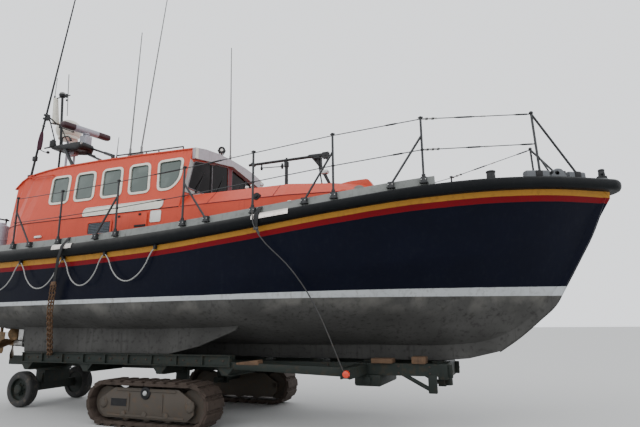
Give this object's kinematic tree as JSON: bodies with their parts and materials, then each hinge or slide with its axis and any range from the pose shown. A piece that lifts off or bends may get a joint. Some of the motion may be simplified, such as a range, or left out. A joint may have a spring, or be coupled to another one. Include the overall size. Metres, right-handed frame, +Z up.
{
  "type": "inshore rescue boat on a tracked launching carriage",
  "caption": "Decked rescue motor boat with a long cabin, guard rails, mast and radar, lashed on a tracked launching carriage with a steering axle.",
  "frame": {"origin": "on the ground under the middle of the boat and carriage", "axes": "+X to the bow, +Y to port, +Z up"},
  "size_m": [11.6, 3.954, 8.7023],
  "materials": {
    "hull_paint": "gloss",
    "orange_paint": "satin",
    "deck_paint": "matte, gritted",
    "pale_paint": "satin",
    "fender_rubber": "matte",
    "window_glass": "polished",
    "rail_steel": "satin",
    "steel": "worn",
    "bronze": "satin",
    "rope": "laid rope",
    "gear_plastic": "gloss",
    "carriage_paint": "worn",
    "track_steel": "worn and dusty",
    "tyre": "matte"
  },
  "bodies": {
    "boat": {"hull": "hull_paint", "engine_block": "steel", "deck": "deck_paint", "fender_belt": "fender_rubber", "toe_rail_starboard": "pale_paint", "toe_rail_port": "pale_paint", "cabin_roof": "orange_paint", "roof_brow_aft": "orange_paint", "cabin_lower": "orange_paint", "cabin_side_starboard": "orange_paint", "cabin_side_port": "orange_paint", "side_glass_starboard": "window_glass", "side_glass_port": "window_glass", "cabin_front": "orange_paint", "windscreen_glass": "window_glass", "windscreen_visor": "pale_paint", "cabin_aft": "orange_paint", "forward_trunk": "orange_paint", "guard_rail_starboard": "rail_steel", "guard_rail_port": "rail_steel", "shaft_line_starboard": "steel", "shaft_line_port": "steel", "grab_line_starboard": "rope", "grab_line_port": "rope", "mast_frame": "rail_steel", "light_mast": "rail_steel", "satellite_dome": "gear_plastic", "whip_aerials_side": "gear_plastic", "whip_aerial_front": "gear_plastic", "roof_rail_starboard": "rail_steel", "roof_rail_port": "rail_steel", "searchlight": "rail_steel", "davit_post": "rail_steel", "bollard_starboard": "rail_steel", "bollard_port": "rail_steel", "bow_post": "rail_steel", "carriage_frame": "carriage_paint", "track_loop_starboard": "track_steel", "track_loop_port": "track_steel", "track_bogie_starboard": "track_steel", "track_bogie_port": "track_steel", "lashing_aft_starboard": "steel", "lashing_aft_port": "steel", "lashing_forward_starboard": "steel", "lashing_forward_port": "steel"},
    "propeller_starboard": {"propeller_starboard": "bronze"},
    "propeller_port": {"propeller_port": "bronze"},
    "rudder_starboard": {"rudder_starboard": "bronze"},
    "rudder_port": {"rudder_port": "bronze"},
    "radar_scanner": {"radar_scanner": "gear_plastic"},
    "signal_mast": {"signal_mast": "rail_steel"},
    "aft_door": {"aft_door": "orange_paint"},
    "hatch_lid": {"hatch_lid": "orange_paint"},
    "davit_boom": {"davit_boom": "rail_steel"},
    "steering": {"steering_frame": "carriage_paint"},
    "wheel_starboard": {"carriage_wheel_starboard": "tyre"},
    "wheel_port": {"carriage_wheel_port": "tyre"}
  },
  "joints": [
    {"name": "propeller_starboard_spin", "type": "hinge", "parent": "boat", "child": "propeller_starboard", "pos_m": [-5.08, -0.72, 1.19], "axis": [1, 0, 0], "continuous": true},
    {"name": "propeller_port_spin", "type": "hinge", "parent": "boat", "child": "propeller_port", "pos_m": [-5.08, 0.72, 1.19], "axis": [1, 0, 0], "continuous": true},
    {"name": "rudder_starboard_turn", "type": "hinge", "parent": "boat", "child": "rudder_starboard", "pos_m": [-5.44, -0.72, 1.4], "axis": [0, 0, 1], "range_deg": [-35, 35]},
    {"name": "rudder_port_turn", "type": "hinge", "parent": "boat", "child": "rudder_port", "pos_m": [-5.44, 0.72, 1.4], "axis": [0, 0, 1], "range_deg": [-35, 35]},
    {"name": "radar_turn", "type": "hinge", "parent": "boat", "child": "radar_scanner", "pos_m": [-3.78, -0.61, 5.4], "axis": [0, 0, 1], "continuous": true},
    {"name": "signal_mast_fold", "type": "hinge", "parent": "boat", "child": "signal_mast", "pos_m": [-4.72, -1.03, 4.47], "axis": [0, -1, 0], "range_deg": [0, 95]},
    {"name": "aft_door_swing", "type": "hinge", "parent": "boat", "child": "aft_door", "pos_m": [-4.88, 0.37, 3.6], "axis": [0, 0, -1], "range_deg": [0, 110]},
    {"name": "hatch_lid_lift", "type": "hinge", "parent": "boat", "child": "hatch_lid", "pos_m": [2.755, 0, 3.43], "axis": [0, -1, 0], "range_deg": [0, 95]},
    {"name": "davit_slew", "type": "hinge", "parent": "boat", "child": "davit_boom", "pos_m": [0.87, -0.65, 4.21], "axis": [0, 0, 1], "range_deg": [-100, 100]},
    {"name": "steering_turn", "type": "hinge", "parent": "boat", "child": "steering", "pos_m": [-4.75, 0, 0.7], "axis": [0, 0, 1], "range_deg": [-35, 35]},
    {"name": "wheel_starboard_spin", "type": "hinge", "parent": "steering", "child": "wheel_starboard", "pos_m": [-4.75, -0.66, 0.33], "axis": [0, 1, 0], "continuous": true},
    {"name": "wheel_port_spin", "type": "hinge", "parent": "steering", "child": "wheel_port", "pos_m": [-4.75, 0.66, 0.33], "axis": [0, 1, 0], "continuous": true}
  ],
  "couplings": [
    {"joint": "rudder_port_turn", "follows": "rudder_starboard_turn", "ratio": 1}
  ]
}
